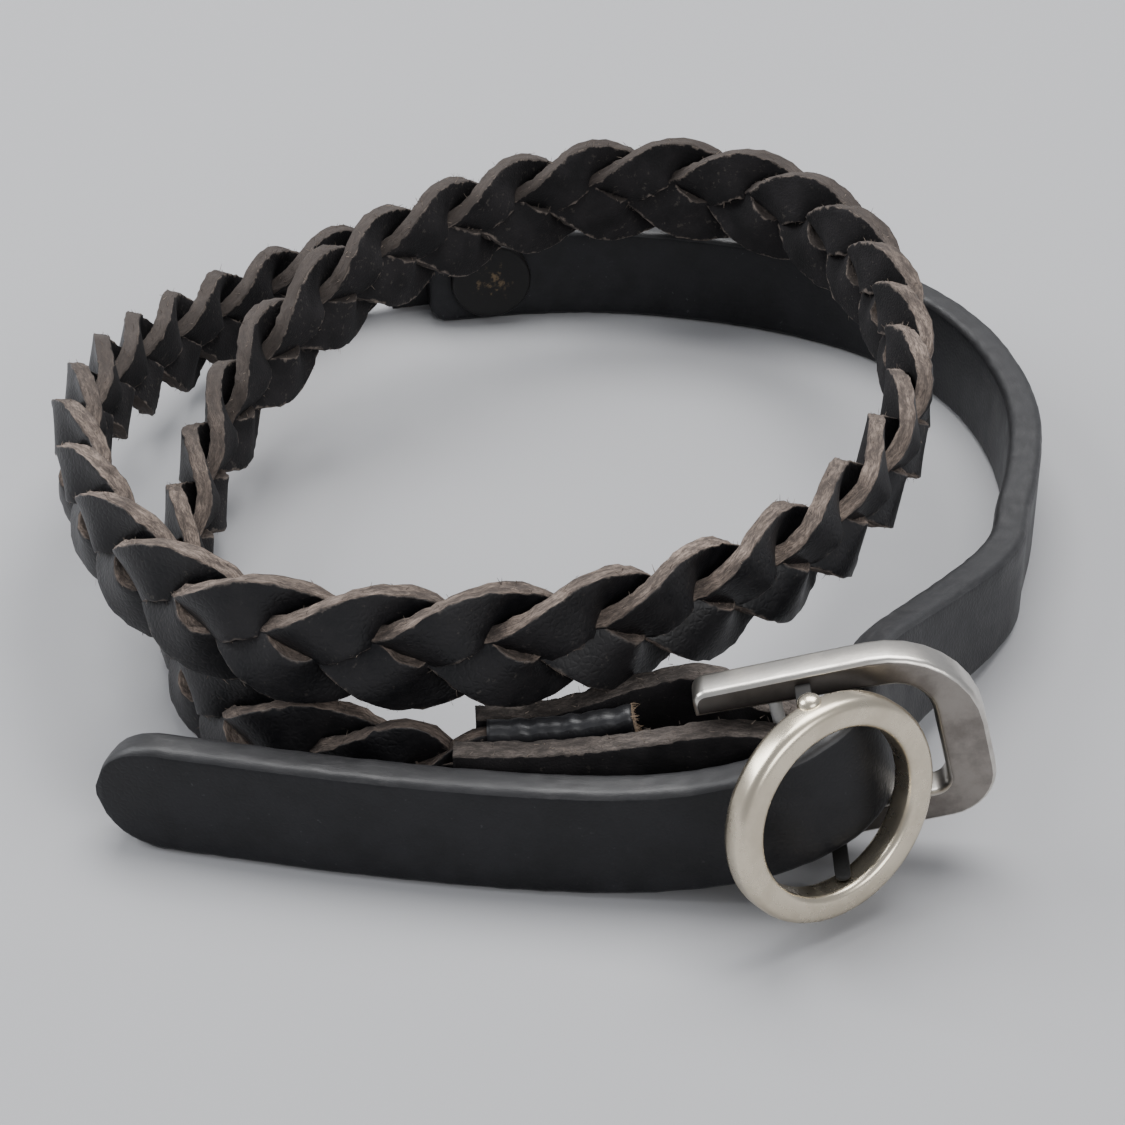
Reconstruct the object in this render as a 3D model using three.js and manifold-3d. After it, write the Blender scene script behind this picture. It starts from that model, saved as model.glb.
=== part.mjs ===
// A double-wrap leather bracelet standing on its edge: a plain strap, a flat three-strand plait,
// a folded loop that carries a horseshoe buckle, and a tilting ring that grips the strap's tail.
// Millimetres, +Z up. The bracelet's front, with the buckle, faces -Y.
import * as THREE from "three";
import { mergeVertices } from "three/addons/utils/BufferGeometryUtils.js";
import Module from "manifold-3d";

const wasm = await Module();
wasm.setup();

// Driving dimensions.
const clearance = 0.3;
const strapWidth = 8;
const strapThickness = 2.4;
const strapChamfer = 0.4;
const tipLength = 4.5;
const strapStep = 2.2;

const strandWidth = 2.4;
const strandThickness = 0.9;
const plaitPitch = 21;
const plaitSway = 2.8;
const plaitSquareness = 0.08;
const plaitDepth = 1.1;
const strandRoll = 0.41;
const strandTwist = -0.5;
const strandStep = 1.75;

const tabWidth = 7.6;
const tabThickness = 1.6;
const tabChamfer = 0.3;

const loopWidth = 7.4;
const loopThickness = 1.4;
const loopStep = 1.1;
const loopLeftEnd = -6.7;
const loopFoldCut = 1.4;

const rivetShankRadius = 0.9;
const rivetHeadRadius = 3.4;
const rivetHeadHeight = 0.8;
const rivetHoleGap = 0.25;
const rivetSeat = 0.15;

const frameThickness = 2.4;
const windowRoom = 0.6;
const frameArmLength = 17.3;
const frameRightEnd = 5.5;
const frameBorder = 2.4;
const frameLimb = 3.5;
const frameCorner = 5;
const windowCorner = 1.6;
const frameTipRound = 1.0;
const frameBevel = 0.35;
const frameSlope = 14;
const framePlace = new THREE.Vector3(21.4, -35, 9.8);

const pinRadius = 0.6;
const pinGap = 0.2;
const pinAlong = -7.5;
const pinSeat = 1.6;

const ringRoom = 1.8;
const ringWall = 1.9;
const ringThickness = 2.0;
const ringRound = 0.5;
const ringAlong = -5.5;
const ringForward = 5.5;
const ringTilt = 34;

const earHalfWidth = 1.2;
const earThickness = 0.8;
const earInset = 0.6;
const pivotRadius = 0.45;
const pivotGap = 0.15;
const pivotHeadRadius = 0.95;
const pivotHeadHeight = 0.5;

// Sizes that follow from the driving ones.
const windowHalfHeight = strapWidth / 2 + windowRoom;
const frameHalfHeight = windowHalfHeight + frameBorder;
const windowRightEnd = frameRightEnd - frameLimb;
const frameLeftEnd = frameRightEnd - frameArmLength;
const pinDepth = frameThickness / 2;
const ringBoreRadius = strapWidth / 2 + ringRoom;
const ringOuterRadius = ringBoreRadius + ringWall;
const earOuter = ringBoreRadius - earInset;
const earInner = earOuter - earThickness;
const radians = THREE.MathUtils.degToRad;

const leather = new THREE.MeshStandardMaterial({ color: 0x1b1b1f, roughness: 0.55, metalness: 0 });
const rawLeather = new THREE.MeshStandardMaterial({ color: 0x26221f, roughness: 0.85, metalness: 0 });
const steel = new THREE.MeshStandardMaterial({ color: 0xc4beb2, roughness: 0.3, metalness: 1 });
const agedSteel = new THREE.MeshStandardMaterial({ color: 0x8d857b, roughness: 0.42, metalness: 1 });
const brass = new THREE.MeshStandardMaterial({ color: 0x2a2420, roughness: 0.4, metalness: 0.8 });

const bracelet = new THREE.Group();

// Closed meshes to solids and back, so that holes can be cut and lugs joined.
function solidFrom(geometry) {
  const bare = geometry.clone();
  bare.deleteAttribute("normal");
  bare.deleteAttribute("uv");
  const merged = mergeVertices(bare, 1e-4);
  const vertProperties = merged.getAttribute("position").array;
  const triVerts = new Uint32Array(merged.index.array);
  return new wasm.Manifold(new wasm.Mesh({ numProp: 3, vertProperties, triVerts }));
}

function geometryFrom(solid) {
  const mesh = solid.getMesh();
  const geometry = new THREE.BufferGeometry();
  geometry.setAttribute("position", new THREE.BufferAttribute(mesh.vertProperties, 3));
  geometry.setIndex(new THREE.BufferAttribute(mesh.triVerts, 1));
  geometry.computeVertexNormals();
  return geometry;
}

function cut(geometry, cutters) {
  const solid = cutters.reduce((rest, cutter) => rest.subtract(solidFrom(cutter)), solidFrom(geometry));
  return geometryFrom(solid);
}

function addPiece(name, geometry, material, parent = bracelet) {
  const mesh = new THREE.Mesh(geometry, material);
  mesh.name = name;
  parent.add(mesh);
  return mesh;
}

// The route of a flat strip that stands on its edge. Each station is [x, y, z] and, where the
// strip leans to its left, the lean in degrees.
class EdgeRoute {
  constructor(stations) {
    const points = stations.map(([x, y, z]) => new THREE.Vector3(x, y, z));
    this.curve = new THREE.CatmullRomCurve3(points, false, "centripetal");
    this.curve.arcLengthDivisions = 1500;
    this.leans = stations.map((station) => station[3] ?? 0);
    this.length = this.curve.getLength();
  }

  leanAt(t) {
    const place = THREE.MathUtils.clamp(t, 0, 1) * (this.leans.length - 1);
    const before = Math.min(Math.floor(place), this.leans.length - 2);
    return THREE.MathUtils.lerp(this.leans[before], this.leans[before + 1], place - before);
  }

  // The point, the direction along, the direction across the width and the one through the
  // thickness, at a distance from the start.
  frameAt(distance) {
    const share = THREE.MathUtils.clamp(distance / this.length, 0, 1);
    const t = this.curve.getUtoTmapping(share);
    const point = this.curve.getPoint(t);
    const along = this.curve.getTangent(t);
    const lean = radians(this.leanAt(t));
    const width = new THREE.Vector3(-Math.sin(lean), 0, Math.cos(lean));
    width.addScaledVector(along, -width.dot(along)).normalize();
    const through = new THREE.Vector3().crossVectors(width, along);
    return { point, along, width, through };
  }
}

// One strand of a flat plait that follows an edge route: it sways across the width once per
// pitch, dips through the thickness twice, and rolls so that its leading edge goes over or under.
class StrandRoute {
  constructor(route, index) {
    this.route = route;
    this.length = route.length;
    this.phase = (index * 2 * Math.PI) / 3;
  }

  turnAt(distance) {
    return (2 * Math.PI * distance) / plaitPitch + this.phase;
  }

  pointAt(distance) {
    const { point, width, through } = this.route.frameAt(distance);
    const turn = this.turnAt(distance);
    const sway = plaitSway * (Math.cos(turn) + plaitSquareness * Math.cos(3 * turn));
    point.addScaledVector(width, sway);
    point.addScaledVector(through, plaitDepth * Math.sin(2 * turn));
    return point;
  }

  frameAt(distance) {
    const reach = 0.05;
    const point = this.pointAt(distance);
    const from = Math.max(distance - reach, 0);
    const to = Math.min(distance + reach, this.length);
    const along = this.pointAt(to).sub(this.pointAt(from)).normalize();
    const through = this.route.frameAt(distance).through;
    through.addScaledVector(along, -through.dot(along)).normalize();
    const width = new THREE.Vector3().crossVectors(along, through);
    const turn = this.turnAt(distance);
    const roll = (strandTwist - strandRoll * Math.cos(2 * turn)) * Math.sin(turn);
    width.applyAxisAngle(along, -roll);
    through.applyAxisAngle(along, -roll);
    return { point, along, width, through };
  }
}

// A section's outline: x through the thickness, y across the width.
function stripSection(thickness, width, chamfer) {
  const halfThickness = thickness / 2;
  const halfWidth = width / 2;
  const shape = new THREE.Shape();
  shape.moveTo(-halfThickness + chamfer, -halfWidth);
  shape.lineTo(halfThickness - chamfer, -halfWidth);
  if (chamfer > 0) shape.lineTo(halfThickness, -halfWidth + chamfer);
  shape.lineTo(halfThickness, halfWidth - chamfer);
  if (chamfer > 0) shape.lineTo(halfThickness - chamfer, halfWidth);
  shape.lineTo(-halfThickness + chamfer, halfWidth);
  if (chamfer > 0) shape.lineTo(-halfThickness, halfWidth - chamfer);
  shape.lineTo(-halfThickness, -halfWidth + chamfer);
  shape.closePath();
  return shape;
}

// A straight strip bent along a route between two distances.
function bentStrip(section, route, start, end, step, widthShare = () => 1) {
  const depth = end - start;
  const steps = Math.ceil(depth / step);
  const strip = new THREE.ExtrudeGeometry(section, { depth, steps, bevelEnabled: false });
  const places = strip.getAttribute("position");
  for (let index = 0; index < places.count; index += 1) {
    const distance = start + places.getZ(index);
    const { point, width, through } = route.frameAt(distance);
    point.addScaledVector(through, places.getX(index));
    point.addScaledVector(width, places.getY(index) * widthShare(distance));
    places.setXYZ(index, point.x, point.y, point.z);
  }
  return strip;
}

// A group whose x runs through a strip's thickness and whose y runs across its width.
function groupOn(route, distance, offset) {
  const { point, along, width, through } = route.frameAt(distance);
  const group = new THREE.Group();
  group.position.copy(point).addScaledVector(through, offset);
  group.quaternion.setFromRotationMatrix(new THREE.Matrix4().makeBasis(through, width, along));
  group.updateMatrixWorld(true);
  return group;
}

// A cylinder along a group's x, in the bracelet's own frame.
function boreAlong(group, radius, length) {
  const bore = new THREE.CylinderGeometry(radius, radius, length, 24).rotateZ(Math.PI / 2);
  return bore.applyMatrix4(group.matrixWorld);
}

// The plain strap, from the tip of its tail at the front left, through the buckle and round the
// right-hand side to the joint at the back.
const strapRoute = new EdgeRoute([
  [-29.6, -31.9, 4],
  [-25.5, -33.0, 4],
  [-20.5, -34.1, 4],
  [-14.8, -35.3, 4],
  [-7, -36.6, 4],
  [0, -37.4, 4.1],
  [5, -37.8, 4.6, 2],
  [9, -38.1, 5.6, 6],
  [12.6, -38.3, 7.2, 11],
  [15.4, -37.9, 8.3, 14],
  [17.4, -36.9, 8.9, 14],
  [18.7, -35.2, 9.25, 14],
  [19.3, -33.1, 9.25, 14],
  [19.8, -30.4, 8.8, 12],
  [20.9, -27.0, 7.9, 9],
  [23.0, -22.6, 6.6, 6],
  [26.2, -17.3, 5.3, 3],
  [29.6, -12.3, 4.5],
  [31.7, -8.5, 4.12],
  [33.2, -4.3, 4],
  [34.5, 0.2, 4],
  [35.4, 4.7, 4],
  [35.8, 9.1, 4],
  [35.3, 15, 4],
  [33.5, 21.5, 4],
  [30.2, 27.5, 4],
  [25.5, 32.8, 4],
  [18.9, 36.7, 4],
  [13.3, 38.7, 4],
  [7.6, 40.0, 4],
  [2.4, 40.5, 4],
  [-3.7, 40.1, 4],
  [-11.4, 38.7, 4],
]);

// The plait, from the folded loop, clockwise twice round and down to the joint.
const plaitRoute = new EdgeRoute([
  [-7.8, -31.7, 4.35],
  [-13.8, -30.5, 4.35],
  [-20.6, -27, 4.35],
  [-25.2, -18.7, 4.35],
  [-27.0, -10, 4.4],
  [-27.0, -2.2, 4.9],
  [-26.2, 6.3, 6.2],
  [-23.7, 13.5, 8.4],
  [-19.6, 19.0, 10.8],
  [-15.3, 24.3, 12.2],
  [-9.9, 29.5, 12.6],
  [-4.3, 34.1, 12.7],
  [3.1, 37.4, 12.7],
  [11.5, 37.4, 12.7],
  [18.7, 33.2, 12.7],
  [23.6, 24.1, 12.7],
  [25.6, 13.3, 12.7],
  [24.7, -0.4, 12.7],
  [20.5, -11.4, 12.7],
  [15.1, -18.9, 12.7],
  [8.9, -24.3, 12.8],
  [2.4, -28.0, 13.0],
  [-4, -29.8, 13.1],
  [-10.3, -30, 13.1],
  [-16.6, -29.4, 13.1],
  [-22.1, -26.8, 13.1],
  [-27.3, -21.6, 13.0],
  [-31.4, -14, 12.8],
  [-34.3, -3.8, 12.2],
  [-34.4, 7.0, 10.6],
  [-32.0, 19.0, 7.8],
  [-27.6, 29.0, 5.6],
  [-21.6, 36.6, 4.6],
  [-15.2, 40.4, 4.35],
]);

const loopAxisHeight = framePlace.z + pinAlong * Math.sin(radians(frameSlope));
const pinPlace = new THREE.Vector3(
  framePlace.x + pinAlong * Math.cos(radians(frameSlope)),
  framePlace.y + pinDepth,
  loopAxisHeight,
);

// The folded loop: an outer ply, a turn about the hinge pin, and an inner ply.
const foldRadius = pinRadius + clearance + loopThickness / 2;
const plyGap = tabThickness + 2 * clearance + loopThickness;
const tabLine = -31.9;
const loopStations = [
  [loopLeftEnd, tabLine - plyGap / 2, 4.2],
  [-2, tabLine - plyGap / 2, 4.2],
  [2.4, tabLine - plyGap / 2 - 0.2, 4.7, 3],
  [6.5, tabLine - plyGap / 2 - 0.8, 5.8, 9],
];
for (const turn of [-115, -90, -60, -30, 0, 30, 60, 90, 115]) {
  const forward = foldRadius * Math.cos(radians(turn));
  const x = pinPlace.x + forward * Math.cos(radians(frameSlope));
  const y = pinPlace.y + foldRadius * Math.sin(radians(turn));
  const z = pinPlace.z + forward * Math.sin(radians(frameSlope));
  loopStations.push([x, y, z, frameSlope]);
}
loopStations.push(
  [6.9, tabLine + plyGap / 2 - 0.5, 5.8, 9],
  [2.4, tabLine + plyGap / 2, 4.7, 3],
  [-1, tabLine + plyGap / 2, 4.2],
  [loopLeftEnd + loopFoldCut, tabLine + plyGap / 2, 4.2],
);
const loopRoute = new EdgeRoute(loopStations);

const startTabRoute = new EdgeRoute([
  [5.5, tabLine, 5.2, 6],
  [2.4, tabLine, 4.6, 3],
  [-1, tabLine, 4.2],
  [-6.7, tabLine, 4.2],
]);

// The end tab lies on the strap's outer face.
const tabSetback = strapThickness / 2 + clearance + tabThickness / 2;
const endTabReach = 14;
const endTabStations = [0, 3.5, 7, 10.5, endTabReach].map((back) => {
  const { point, through } = strapRoute.frameAt(strapRoute.length + 1.6 - back);
  const beyond = Math.max(1.6 - back, 0);
  point.addScaledVector(through, -tabSetback);
  return [point.x - beyond, point.y - 0.25 * beyond, 4.2];
});
const endTabRoute = new EdgeRoute(endTabStations);

// Where the two rivets go.
const jointRivetBack = 5.5;
const jointGroup = groupOn(strapRoute, strapRoute.length - jointRivetBack, 0);
const jointBore = boreAlong(jointGroup, rivetShankRadius + rivetHoleGap, 16);
const loopRivetPlace = 3.8;
const loopGroup = groupOn(startTabRoute, startTabRoute.length - loopRivetPlace, 0);
const loopBore = boreAlong(loopGroup, rivetShankRadius + rivetHoleGap, 14);

function roundedTip(distance) {
  if (distance >= tipLength) return 1;
  const share = 1 - distance / tipLength;
  return Math.max(Math.sqrt(1 - share * share), 0.3);
}

function makeStrap() {
  const section = stripSection(strapThickness, strapWidth, strapChamfer);
  const strip = bentStrip(section, strapRoute, 0, strapRoute.length, strapStep, roundedTip);
  addPiece("plain_strap", cut(strip, [jointBore]), leather);
}

function makePlait() {
  const section = stripSection(strandThickness, strandWidth, 0);
  for (const [index, letter] of ["a", "b", "c"].entries()) {
    const strand = new StrandRoute(plaitRoute, index);
    addPiece(`braid_strand_${letter}`, bentStrip(section, strand, 0, strand.length, strandStep), leather);
  }
}

function makeLoopAndTabs() {
  const ply = stripSection(loopThickness, loopWidth, tabChamfer);
  const loop = bentStrip(ply, loopRoute, 0, loopRoute.length, loopStep);
  addPiece("buckle_loop", cut(loop, [loopBore]), leather);
  const tab = stripSection(tabThickness, tabWidth, tabChamfer);
  const startTab = bentStrip(tab, startTabRoute, 0, startTabRoute.length, strapStep);
  addPiece("braid_start_tab", cut(startTab, [loopBore]), rawLeather);
  const endTab = bentStrip(tab, endTabRoute, 0, endTabRoute.length, strapStep);
  addPiece("braid_end_tab", cut(endTab, [jointBore]), rawLeather);
}

// A two-part rivet along a group's x: a post with a flat head at the low end and a domed cap
// at the high end.
function makeRivet(name, group, low, high) {
  const post = [
    [0, low - rivetSeat - rivetHeadHeight],
    [rivetHeadRadius - 0.5, low - rivetSeat - rivetHeadHeight],
    [rivetHeadRadius, low - rivetSeat - rivetHeadHeight / 2],
    [rivetHeadRadius, low - rivetSeat],
    [rivetShankRadius, low - rivetSeat],
    [rivetShankRadius, high],
    [0, high],
  ];
  const cap = [
    [0, high + rivetSeat],
    [rivetHeadRadius, high + rivetSeat],
    [rivetHeadRadius, high + rivetSeat + rivetHeadHeight * 0.45],
    [rivetHeadRadius * 0.8, high + rivetSeat + rivetHeadHeight * 0.85],
    [rivetHeadRadius * 0.4, high + rivetSeat + rivetHeadHeight],
    [0, high + rivetSeat + rivetHeadHeight],
  ];
  for (const [suffix, profile] of [["", post], ["_cap", cap]]) {
    const points = profile.map(([radius, height]) => new THREE.Vector2(radius, height));
    const turned = new THREE.LatheGeometry(points, 28).rotateZ(-Math.PI / 2);
    addPiece(name + suffix, turned, brass, group);
  }
  bracelet.add(group);
}

function roundedSection(inner, outer, thickness, round) {
  const half = thickness / 2;
  const points = [];
  const corners = [
    [outer - round, half - round, 90],
    [inner + round, half - round, 180],
    [inner + round, -half + round, 270],
    [outer - round, -half + round, 360],
  ];
  for (const [x, y, start] of corners) {
    for (const turn of [0, 45, 90]) {
      const angle = radians(start - 90 + turn);
      points.push(new THREE.Vector2(x + round * Math.cos(angle), y + round * Math.sin(angle)));
    }
  }
  points.push(points[0].clone());
  return points;
}

// The horseshoe frame, seen from the front: two arms that reach left from the right-hand limb.
function frameOutline() {
  const shape = new THREE.Shape();
  const right = frameRightEnd;
  const left = frameLeftEnd;
  shape.moveTo(left + frameTipRound, -frameHalfHeight);
  shape.lineTo(right - frameCorner, -frameHalfHeight);
  shape.absarc(right - frameCorner, -frameHalfHeight + frameCorner, frameCorner, -Math.PI / 2, 0);
  shape.absarc(right - frameCorner, frameHalfHeight - frameCorner, frameCorner, 0, Math.PI / 2);
  shape.lineTo(left + frameTipRound, frameHalfHeight);
  shape.absarc(left + frameTipRound, frameHalfHeight - frameTipRound, frameTipRound, Math.PI / 2, Math.PI);
  shape.lineTo(left, windowHalfHeight);
  shape.lineTo(windowRightEnd - windowCorner, windowHalfHeight);
  shape.absarc(
    windowRightEnd - windowCorner,
    windowHalfHeight - windowCorner,
    windowCorner,
    Math.PI / 2,
    0,
    true,
  );
  shape.absarc(
    windowRightEnd - windowCorner,
    -windowHalfHeight + windowCorner,
    windowCorner,
    0,
    -Math.PI / 2,
    true,
  );
  shape.lineTo(left, -windowHalfHeight);
  shape.lineTo(left, -frameHalfHeight + frameTipRound);
  shape.absarc(
    left + frameTipRound,
    -frameHalfHeight + frameTipRound,
    frameTipRound,
    Math.PI,
    1.5 * Math.PI,
  );
  return shape;
}

function makeFrame(buckle) {
  const plate = new THREE.ExtrudeGeometry(frameOutline(), {
    depth: frameThickness - 2 * frameBevel,
    curveSegments: 8,
    bevelThickness: frameBevel,
    bevelSize: frameBevel,
    bevelOffset: -frameBevel,
    bevelSegments: 2,
  });
  plate.rotateX(Math.PI / 2).translate(0, frameThickness - frameBevel, 0);
  let solid = solidFrom(plate);
  const holes = [];
  const pinHole = new THREE.CylinderGeometry(
    pinRadius + pinGap,
    pinRadius + pinGap,
    2 * (windowHalfHeight + pinSeat + clearance),
    20,
  );
  holes.push(pinHole.rotateX(Math.PI / 2).translate(pinAlong, pinDepth, 0));
  const rooted = frameThickness / 2;
  for (const side of [1, -1]) {
    const middle = side * (earOuter - earThickness / 2);
    const bar = new THREE.BoxGeometry(2 * earHalfWidth, ringForward + rooted, earThickness);
    bar.translate(ringAlong, (rooted - ringForward) / 2, middle);
    const end = new THREE.CylinderGeometry(earHalfWidth, earHalfWidth, earThickness, 24);
    end.rotateX(Math.PI / 2).translate(ringAlong, -ringForward, middle);
    solid = solid.add(solidFrom(bar)).add(solidFrom(end));
    const hole = new THREE.CylinderGeometry(pivotRadius + pivotGap, pivotRadius + pivotGap, 3, 16);
    holes.push(hole.rotateX(Math.PI / 2).translate(ringAlong, -ringForward, middle));
  }
  addPiece("buckle_frame", cut(geometryFrom(solid), holes), agedSteel, buckle);

  const pinLength = 2 * (windowHalfHeight + pinSeat);
  const pin = new THREE.CylinderGeometry(pinRadius, pinRadius, pinLength, 20);
  addPiece("hinge_pin", pin.rotateX(Math.PI / 2), steel, buckle).position.set(pinAlong, pinDepth, 0);
}

function makeRing(buckle) {
  const tilted = new THREE.Group();
  tilted.position.set(ringAlong, -ringForward, 0);
  tilted.rotation.z = radians(ringTilt);
  buckle.add(tilted);
  const profile = roundedSection(ringBoreRadius, ringOuterRadius, ringThickness, ringRound);
  const hoop = new THREE.LatheGeometry(profile, 40);
  const across = new THREE.CylinderGeometry(
    pivotRadius + pivotGap,
    pivotRadius + pivotGap,
    2 * ringOuterRadius + 2,
    16,
  );
  addPiece("ring", cut(hoop, [across.rotateX(Math.PI / 2)]), steel, tilted);
  for (const [name, side] of [["upper", 1], ["lower", -1]]) {
    const seat = ringOuterRadius + clearance / 2;
    const points = [
      [0, earInner],
      [pivotRadius, earInner],
      [pivotRadius, seat],
      [pivotHeadRadius, seat],
      [pivotHeadRadius * 0.8, seat + pivotHeadHeight * 0.6],
      [0, seat + pivotHeadHeight],
    ].map(([radius, height]) => new THREE.Vector2(radius, height));
    const pivot = new THREE.LatheGeometry(points, 16).rotateX((side * Math.PI) / 2);
    addPiece(`ring_pivot_${name}`, pivot, steel, tilted);
  }
}

makeStrap();
makePlait();
makeLoopAndTabs();
const jointLow = -strapThickness / 2 - clearance - tabThickness;
makeRivet("joint_rivet", jointGroup, jointLow, strapThickness / 2 + rivetSeat);
const loopHalf = (plyGap + loopThickness) / 2;
makeRivet("loop_rivet", loopGroup, -loopHalf, loopHalf);

const buckle = new THREE.Group();
buckle.position.copy(framePlace);
buckle.rotation.y = -radians(frameSlope);
bracelet.add(buckle);
makeFrame(buckle);
makeRing(buckle);

// The origin is under the middle of the whole bracelet, at the level of its lowest point.
bracelet.updateMatrixWorld(true);
const reach = new THREE.Box3().setFromObject(bracelet, true);
const middle = reach.getCenter(new THREE.Vector3());
bracelet.position.set(-middle.x, -middle.y, -reach.min.z);

export default bracelet;
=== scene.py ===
import math
import random
import bmesh
import bpy
import numpy as np
from mathutils import Matrix, Vector, noise


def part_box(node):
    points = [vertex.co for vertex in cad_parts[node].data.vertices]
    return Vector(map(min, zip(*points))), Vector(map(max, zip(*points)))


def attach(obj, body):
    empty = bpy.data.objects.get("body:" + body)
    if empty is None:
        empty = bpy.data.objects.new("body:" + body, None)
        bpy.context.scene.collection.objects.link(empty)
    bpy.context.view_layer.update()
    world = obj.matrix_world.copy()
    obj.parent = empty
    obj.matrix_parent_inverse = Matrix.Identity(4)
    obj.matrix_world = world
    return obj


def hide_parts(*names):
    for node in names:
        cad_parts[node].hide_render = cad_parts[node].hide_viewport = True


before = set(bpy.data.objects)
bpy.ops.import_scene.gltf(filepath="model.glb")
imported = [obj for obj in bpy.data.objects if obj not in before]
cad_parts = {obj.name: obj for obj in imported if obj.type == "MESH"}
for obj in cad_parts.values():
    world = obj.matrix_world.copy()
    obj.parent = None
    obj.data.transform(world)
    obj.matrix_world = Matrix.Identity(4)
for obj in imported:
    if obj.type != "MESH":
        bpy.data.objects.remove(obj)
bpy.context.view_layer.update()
mm = 0.001
noise.seed_set(7)  # without it noise_vector starts from the clock, and the fray changes in every run


def boxMiddle(node):
    low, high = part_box(node)
    return (Vector(low) + Vector(high)) / 2


def report(stage):
    print("bracelet:", stage)


buckle = dict(place=Vector((21.4, -35.0, 9.8)), slope=math.radians(14), pinAlong=-7.5, pinDepth=1.2,
              ringAlong=-5.5, ringForward=5.5, ringTilt=math.radians(34))


def onBuckle(along, depth, up):
    turn = Matrix.Rotation(-buckle["slope"], 3, "Y")
    return buckle["place"] + turn @ Vector((along, depth, up))


pinPlace = onBuckle(buckle["pinAlong"], buckle["pinDepth"], 0)
# the routes below are in millimetres from an origin of their own, and this moves them into the frame
shift = boxMiddle("hinge_pin") / mm - pinPlace


def curvePoints(stations, perSpan=40):  # centripetal spline
    points = [np.array(s[:3], float) for s in stations]
    leans = [s[3] if len(s) > 3 else 0.0 for s in stations]
    count = len(points)
    rows = []
    for i in range(count - 1):
        p1, p2 = points[i], points[i + 1]
        p0 = points[i - 1] if i > 0 else 2 * p1 - p2
        p3 = points[i + 2] if i + 2 < count else 2 * p2 - p1
        d0, d1, d2 = (max(np.linalg.norm(b - a) ** 0.5, 1e-4) for a, b in ((p0, p1), (p1, p2), (p2, p3)))
        m1 = ((p1 - p0) / d0 - (p2 - p0) / (d0 + d1) + (p2 - p1) / d1) * d1
        m2 = ((p2 - p1) / d1 - (p3 - p1) / (d1 + d2) + (p3 - p2) / d2) * d1
        last = i == count - 2
        for t in np.linspace(0, 1, perSpan, endpoint=last):
            square, cube = t ** 2, t ** 3
            spot = (2 * cube - 3 * square + 1) * p1 + (cube - 2 * square + t) * m1
            spot = spot + (-2 * cube + 3 * square) * p2 + (cube - square) * m2
            rows.append(np.append(spot, leans[i] + (leans[i + 1] - leans[i]) * t))
    return np.array(rows)


def smooth(share):
    share = np.clip(share, 0, 1)
    return share * share * (3 - 2 * share)


def unit(rows):
    return rows / np.linalg.norm(rows, axis=1)[:, None]


def resample(rows, step=0.2):
    gaps = np.linalg.norm(np.diff(rows[:, :3], axis=0), axis=1)
    run = np.append(0, np.cumsum(gaps))
    even = np.linspace(0, run[-1], max(int(run[-1] / step), 8))
    return even, np.stack([np.interp(even, run, rows[:, k]) for k in range(rows.shape[1])], 1)


def edgeRoute(stations):
    distance, rows = resample(curvePoints(stations))
    point = rows[:, :3]
    lean = np.radians(rows[:, 3])
    along = unit(np.gradient(point, distance, axis=0))
    width = np.stack([-np.sin(lean), np.zeros_like(lean), np.cos(lean)], 1)
    width = unit(width - along * np.sum(width * along, 1)[:, None])
    through = np.cross(width, along)
    return dict(distance=distance, point=point, along=along, width=width, through=through)


# sways and dips through the plait, and lies flat beside its neighbours at both ends
def strandRoute(route, index, spec):
    distance = route["distance"]
    turns = [2 * np.pi * distance / spec["pitch"] + k * 2 * np.pi / 3 + spec["phase"] for k in range(3)]
    turn = turns[index]
    sway = spec["sway"] * (np.cos(turn) + spec["square"] * np.cos(3 * turn))
    dip = spec["depth"] * np.sin(2 * turn)
    loose = np.ones_like(distance)
    sampleAt = spec["rankSample"]  # the strands keep the order they have here as they run to their ends
    for sample, reach in ((sampleAt, distance), (-sampleAt, distance[-1] - distance)):
        rank = sorted(range(3), key=lambda k: np.cos(turns[k][sample])).index(index)
        share = smooth(reach / spec["gather"])
        sway = sway * share + (rank - 1) * spec["besides"] * (1 - share)
        dip = dip * share
        loose = loose * share
    point = route["point"] + route["width"] * sway[:, None] + route["through"] * dip[:, None]
    along = unit(np.gradient(point, distance, axis=0))
    through = route["through"]
    through = unit(through - along * np.sum(through * along, 1)[:, None])
    width = np.cross(along, through)
    roll = -spec["roll"] * np.cos(2 * turn) * np.sin(turn) * loose
    cosine, sine = np.cos(roll)[:, None], np.sin(roll)[:, None]
    return dict(distance=distance, point=point, along=along, loose=loose,
                width=width * cosine + through * sine, through=through * cosine - width * sine)


def frameOn(route, distance):
    spot = {}
    for key in ("point", "along", "width", "through"):
        parts = [np.interp(distance, route["distance"], route[key][:, k]) for k in range(3)]
        spot[key] = np.stack(parts, -1)
    return spot


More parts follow.
